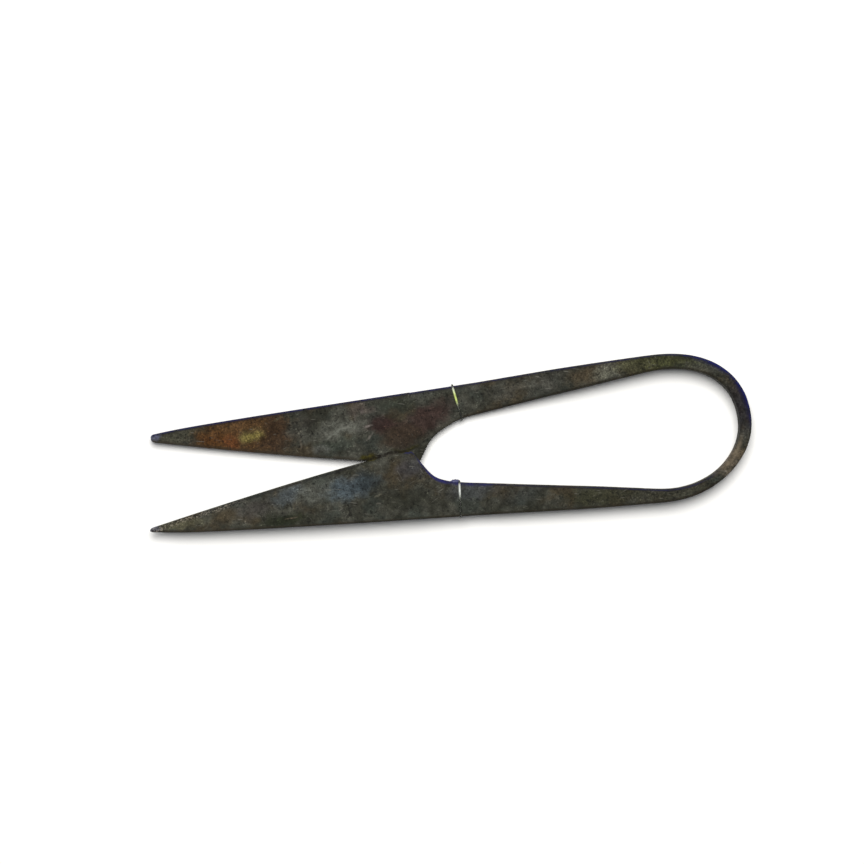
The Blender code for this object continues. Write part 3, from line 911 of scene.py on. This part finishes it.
# Rim stains and painted light along the top arris of the side walls that face one way: bloom and dirt,
# painted shade on the walls that face away from the key, and a painted highlight on the bow's inner wall
# that faces it. That way, the cosines between which one sets in, its width, the stretch of X it covers,
# its strength and its colour.
RIM_STAINS_AND_LIGHT = [
    ((0.20, 0.98, 0.0), 0.50, 0.90, 0.62, (-60, 60), 0.75, (38, 36, 42)),
    ((0.20, 0.98, 0.0), 0.50, 0.90, 0.34, (-60, 60), 0.90, (46, 47, 82)),
    ((0.80, 0.60, 0.0), 0.62, 0.97, 1.10, (38, 60), 0.90, (27, 27, 60)),
    ((0.80, 0.60, 0.0), 0.62, 0.97, 0.50, (38, 60), 0.90, (36, 40, 98)),
    ((0.66, 0.75, 0.0), 0.70, 0.95, 0.80, (-6.4, 8), 0.90, (46, 46, 98)),
    # Painted shade: the walls that face away from the key, towards -Y, are darkened.
    ((-0.10, -0.99, 0.0), 0.60, 1.00, 0.60, (-60, 60), 0.65, (52, 46, 39)),
    # Painted highlight: the bow's inner wall at the lower right, which faces the key, is lightened to
    # cream.
    ((-0.78, 0.62, 0.0), 0.88, 1.00, 0.95, (38, 60), 0.65, (132, 120, 102)),
]

# The ellipsoid round the blades' crossing that stays free of the rims' stains and painted light.
CROSSING_CENTRE = (-12.2, 0.2, 2.9)
CROSSING_RADII = (5.0, 2.6, 2.0)


def mark_group():
    """Mixes a mark's colour in, inside a soft ragged ellipsoid; marks are stains, scuffs, painted shade
    and painted highlights.
    """
    group = bpy.data.node_groups.new("mark_color", "ShaderNodeTree")
    kinds = {"Color": "Color", "Position": "Vector", "Grain": "Float", "Centre": "Vector"}
    kinds |= {"Radii": "Vector", "Turn": "Float", "Mark Color": "Color"}
    kinds |= {"Strength": "Float", "Softness": "Float"}
    for name, kind in kinds.items():
        group.interface.new_socket(name, in_out="INPUT", socket_type=f"NodeSocket{kind}")
    group.interface.new_socket("Color", in_out="OUTPUT", socket_type="NodeSocketColor")
    tree = Tree(group)
    given = tree.node("NodeGroupInput").outputs
    offset = tree.vector("SUBTRACT", given["Position"], given["Centre"])
    turned = tree.turned(offset, given["Turn"], invert=True)
    distance = tree.length(tree.vector("DIVIDE", turned, given["Radii"]))
    inside = tree.math("SUBTRACT", 1.0, distance)
    raggedness = tree.product(tree.math("SUBTRACT", given["Grain"], 0.5), 0.7)
    low = tree.product(given["Softness"], -0.5)
    high = tree.product(given["Softness"], 0.5)
    mask = tree.band(tree.math("ADD", inside, raggedness), low, high)
    result = tree.mix(tree.product(mask, given["Strength"]), given["Color"], given["Mark Color"])
    tree.node("NodeGroupOutput", {"Color": result})
    return group


# Grains: a shift of the pattern, its fineness, the noise between which a grain sets in, the same for the
# patches where grains are thick, the grain's brightness in shares of the skin's, and the strength.
GRAINS = [
    (3.0, 1.9, 0.60, 0.68, 0.42, 0.60, 0.30, 0.85),
    (11.0, 2.9, 0.61, 0.68, 0.44, 0.60, 0.26, 0.65),
    (23.0, 2.1, 0.63, 0.72, 0.46, 0.64, 2.0, 0.70),
    (37.0, 3.1, 0.64, 0.71, 0.44, 0.62, 2.7, 0.75),
]

# Scratches: their turn in degrees, a shift of the pattern, how rare they are and their strength.
SCRATCHES = [
    (12, 5.0, 0.71, 0.45),
    (-28, 17.0, 0.73, 0.40),
    (64, 29.0, 0.74, 0.30),
]

# Small marks, described as the stains are: bright tips, scuffs, painted shade on the right blade's
# rounded heel edge, and a dark line along the left blade's edge over the right blade, painted contact
# shade and dirt.
SCUFFS_AND_SHADE = [
    ((-53.5, 8.5, 2.2), (1.10, 0.80, 1.2), 0, (112, 116, 148), 0.80, 1.4),
    ((-55.1, -8.4, 3.2), (1.10, 0.60, 1.2), 0, (112, 116, 142), 0.70, 1.4),
    ((-20.9, 5.2, 2.2), (1.50, 0.20, 0.6), 26, (122, 124, 116), 0.60, 1.4),
    ((-18.9, 6.0, 2.2), (1.70, 0.34, 0.6), 10, (116, 118, 110), 0.60, 1.6),
    ((-17.6, 6.6, 2.2), (0.90, 0.22, 0.6), 30, (124, 124, 116), 0.58, 1.4),
    ((-16.6, 5.6, 2.2), (1.00, 0.21, 0.6), -10, (100, 98, 92), 0.58, 1.3),
    ((-14.2, 6.2, 2.2), (0.70, 0.20, 0.6), 4, (144, 134, 130), 0.70, 1.3),
    ((-14.0, 4.1, 2.2), (0.90, 0.18, 0.6), 36, (120, 114, 108), 0.60, 1.3),
    ((-16.2, 8.0, 2.2), (0.15, 0.60, 0.6), 4, (104, 98, 94), 0.58, 1.3),
    ((-14.8, 8.9, 2.2), (0.22, 0.55, 0.6), -10, (110, 100, 98), 0.58, 1.3),
    ((-26.9, 4.3, 2.2), (0.22, 1.00, 0.6), 4, (96, 88, 78), 0.58, 1.3),
    ((-30.4, 9.2, 2.2), (0.80, 0.19, 0.6), 24, (100, 96, 76), 0.58, 1.3),
    ((-29.8, -9.1, 4.0), (1.20, 0.14, 0.8), 4, (124, 112, 96), 0.61, 1.3),
    ((-13.6, -6.6, 4.2), (0.60, 0.15, 0.8), 20, (118, 114, 100), 0.58, 1.3),
    ((-13.4, -8.2, 4.2), (0.40, 0.19, 0.8), 0, (104, 100, 92), 0.58, 1.3),
    ((-18.4, -3.0, 4.2), (1.60, 0.16, 0.8), 30, (104, 110, 112), 0.50, 1.3),
    ((-32.6, -6.0, 4.2), (0.50, 0.16, 0.8), 0, (28, 27, 30), 0.58, 1.3),
    # Painted shade: the right blade's rounded heel edge, which faces away from the key.
    ((-2.6, 2.4, 2.0), (3.2, 0.50, 1.0), 46, (38, 34, 30), 0.65, 1.4),
    # A thin dark line on the right blade along the left blade's edge: painted contact shade and dirt.
    ((-13.2, 0.35, 2.2), (3.0, 0.34, 0.5), 6, (30, 27, 22), 0.95, 1.2),
    ((-9.4, 0.80, 2.2), (3.2, 0.30, 0.5), 5, (32, 29, 20), 0.90, 1.2),
]


def with_marks(tree, marks, group, color, position, grain):
    """The colour with all these marks laid over it, one after the other: stains, scuffs, painted shade
    and a painted highlight.
    """
    for centre, radii, turn, mark_color, strength, softness in marks:
        inputs = {
            "Color": color,
            "Position": position,
            "Grain": grain,
            "Centre": centre,
            "Radii": radii,
            "Turn": math.radians(turn),
            "Mark Color": shade(*mark_color),
            "Strength": strength,
            "Softness": softness,
        }
        laid = tree.tree.nodes.new("ShaderNodeGroup")
        laid.node_tree = group
        tree.fill(laid, inputs)
        color = laid.outputs["Color"]
    return color


def bare_patina(tree, position):
    """Brownish and greenish greys that drift into one another."""
    broad = tree.noise(position, 0.22, 3.0, 0.55)
    hue = tree.noise(tree.vector("ADD", position, (31, 7, 3)), 0.16, 3.0, 0.6)
    color = tree.mix(tree.band(broad, 0.38, 0.64), shade(54, 54, 47), shade(74, 74, 67))
    color = tree.mix(tree.band(hue, 0.50, 0.66), color, shade(68, 62, 50))
    return tree.mix(tree.band(hue, 0.46, 0.32, 0.0, 0.8), color, shade(58, 62, 57))


def patina_tone(tree, position, along, across, middling, fine, speck):
    """How bright a place is: mottled at three sizes, and once more on the rust and towards the bow."""
    tone = tree.product(
        tree.band(middling, 0.30, 0.70, 0.70, 1.30),
        tree.band(fine, 0.30, 0.70, 0.78, 1.22),
        tree.band(speck, 0.30, 0.70, 0.80, 1.20),
    )
    rusty = tree.product(tree.band(along, -25.0, -31.0), tree.band(across, 2.0, 5.0, 0.0, 0.7))
    coarse = tree.math("MAXIMUM", rusty, tree.band(along, 20.0, 34.0))
    mottled = tree.noise(tree.vector("ADD", position, (47, 13, 29)), 3.2, 2.0, 0.6)
    mottled = tree.product(coarse, tree.band(mottled, 0.34, 0.66, -0.42, 0.42))
    return tree.product(tone, tree.math("ADD", mottled, 1.0))


def with_grains(tree, color, position):
    """The colour with dark and light grains, thick in patches."""
    for where, scale, low, high, patch_low, patch_high, brightness, strength in GRAINS:
        shifted = tree.vector("ADD", position, (where, where, where))
        grain = tree.band(tree.noise(shifted, scale, 1.0, 0.5), low, high)
        patch = tree.band(tree.noise(shifted, 0.28, 2.0, 0.5), patch_low, patch_high, 0.12, strength)
        color = tree.mix(tree.product(grain, patch), color, tree.scaled(color, brightness))
    return color


def with_scratches(tree, color, position):
    """The colour with thin pale scratches that run a few ways."""
    for turn, where, low, strength in SCRATCHES:
        turned = tree.turned(tree.vector("ADD", position, (where, where, 0)), math.radians(turn))
        drawn_out = tree.vector("MULTIPLY", turned, (0.45, 3.4, 0.4))
        line = tree.band(tree.noise(drawn_out, 1.0, 1.0, 0.4), low, low + 0.08, 0.0, strength)
        color = tree.mix(line, color, shade(128, 126, 118))
    return color


def with_rim_marks(tree, color, position, along, rim, from_arris, middling):
    """The colour with the rims' stains, painted shade and painted highlight, except where the blades
    cross.
    """
    crossing = tree.vector("DIVIDE", tree.vector("SUBTRACT", position, CROSSING_CENTRE), CROSSING_RADII)
    crossing = tree.length(crossing)
    patchy = tree.band(middling, 0.36, 0.56, 0.35, 1.0)
    for way, low, high, width, (start, end), strength, mark_color in RIM_STAINS_AND_LIGHT:
        dot = tree.node("ShaderNodeVectorMath", {0: rim, 1: way}, operation="DOT_PRODUCT")
        factor = tree.product(
            tree.band(dot.outputs["Value"], low, high, 0.0, strength),
            tree.band(crossing, 0.85, 1.05),
            patchy,
            tree.band(from_arris, 1.15 * width, 0.45 * width),
            tree.band(along, start, start + 2.0),
            tree.band(along, end, end - 2.0),
        )
        color = tree.mix(factor, color, shade(*mark_color))
    return color


def with_honed_edge(tree, color, along, across, from_arris, fine):
    """The colour with pale specks, bare honed steel with a painted highlight on the bevel, and dark nicks
    along the left blade's edge near its tip.
    """
    from_edge = tree.attribute("from_edge", "Fac")
    honed = tree.product(
        tree.band(from_arris, 1.2, 0.5),
        tree.band(along, -37.0, -44.0),
        tree.band(from_edge, 1.2, 1.0),
        tree.band(across, 0.0, -1.0),
    )
    # Pale specks: bare steel, brightened as a painted highlight on the bevel.
    specks_and_highlight = tree.product(honed, tree.band(fine, 0.50, 0.60, 0.0, 0.75))
    nicks = tree.product(honed, tree.band(fine, 0.47, 0.38, 0.0, 0.7))
    color = tree.mix(specks_and_highlight, color, shade(152, 144, 130))
    return tree.mix(nicks, color, shade(40, 38, 38))


@cache
def iron_material():
    """The patina of forging and edge steel, in layers. The positions that it reads are in millimetres."""
    material = bpy.data.materials.new("forged_iron_patina")
    material.use_nodes = True
    tree = Tree(material.node_tree)
    position = tree.attribute("rest", "Vector")
    along, across, _ = tree.node("ShaderNodeSeparateXYZ", {0: position}).outputs
    rim = tree.attribute("rim", "Vector")
    from_arris = tree.node("ShaderNodeSeparateXYZ", {0: rim}).outputs["Z"]
    middling = tree.noise(position, 0.75, 4.0, 0.6)
    fine = tree.noise(position, 2.6, 3.0, 0.65)
    speck = tree.noise(position, 5.5, 1.0, 0.5)
    wander = tree.noise(position, 0.35, 3.0, 0.6, "Color")
    wander = tree.vector("MULTIPLY", tree.vector("SUBTRACT", wander, (0.5, 0.5, 0.5)), (5.0, 3.6, 1.2))
    strayed = tree.vector("ADD", position, wander)
    close_by = tree.vector("ADD", position, tree.vector("MULTIPLY", wander, (0.28, 0.30, 0.16)))

    group = mark_group()
    color = with_marks(tree, STAINS_AND_HIGHLIGHT, group, bare_patina(tree, position), strayed, middling)
    color = tree.scaled(color, patina_tone(tree, position, along, across, middling, fine, speck))
    color = with_grains(tree, color, position)
    # Scuffs and bright tips, with painted shade at the heel and along the blades' crossing.
    scuffed_and_shaded = with_marks(tree, SCUFFS_AND_SHADE, group, color, close_by, fine)
    color = tree.mix(tree.band(fine, 0.42, 0.58, 0.45, 1.0), color, scuffed_and_shaded)
    color = with_scratches(tree, color, position)
    color = with_rim_marks(tree, color, position, along, rim, from_arris, middling)
    color = with_honed_edge(tree, color, along, across, from_arris, fine)

    relief = tree.math("ADD", tree.product(fine, 0.6), tree.product(speck, 0.4))
    bump = tree.node("ShaderNodeBump", {"Height": relief, "Strength": 0.5, "Distance": 0.05 * MM})
    tree.fill(material.node_tree.nodes["Principled BSDF"], {
        "Base Color": color,
        "Roughness": tree.band(middling, 0.3, 0.7, 0.82, 0.68),
        "Specular IOR Level": 0.12,
        "Normal": bump.outputs["Normal"],
    })
    return material


@cache
def line_material():
    """Clear nylon line, a little cloudy, with the tint and the clearness that its mesh carries, which
    hold the ties' painted highlight and the knot's painted shade.
    """
    material = bpy.data.materials.new("clear_nylon_line")
    material.use_nodes = True
    tree = Tree(material.node_tree)
    where = tree.node("ShaderNodeTexCoord").outputs["Object"]
    cloud = tree.noise(where, 2600.0, 2.0, 0.5)
    tint = tree.attribute("tint", "Vector")
    tree.fill(material.node_tree.nodes["Principled BSDF"], {
        "Base Color": tree.scaled(tint, tree.band(cloud, 0.3, 0.7, 0.8, 1.15)),
        "Roughness": tree.band(cloud, 0.3, 0.7, 0.14, 0.30),
        "Transmission Weight": tree.attribute("clearness", "Fac"),
        "IOR": 1.45,
        "Specular IOR Level": 0.3,
    })
    return material


# ------------------------------------ assembly

build_camera()
build_floor()
build_light()
skins = build_iron()
for arm in (RIGHT, LEFT):
    build_edge_steel(arm)
    build_tie(arm, skins[arm])
build_knot(skins[LEFT])
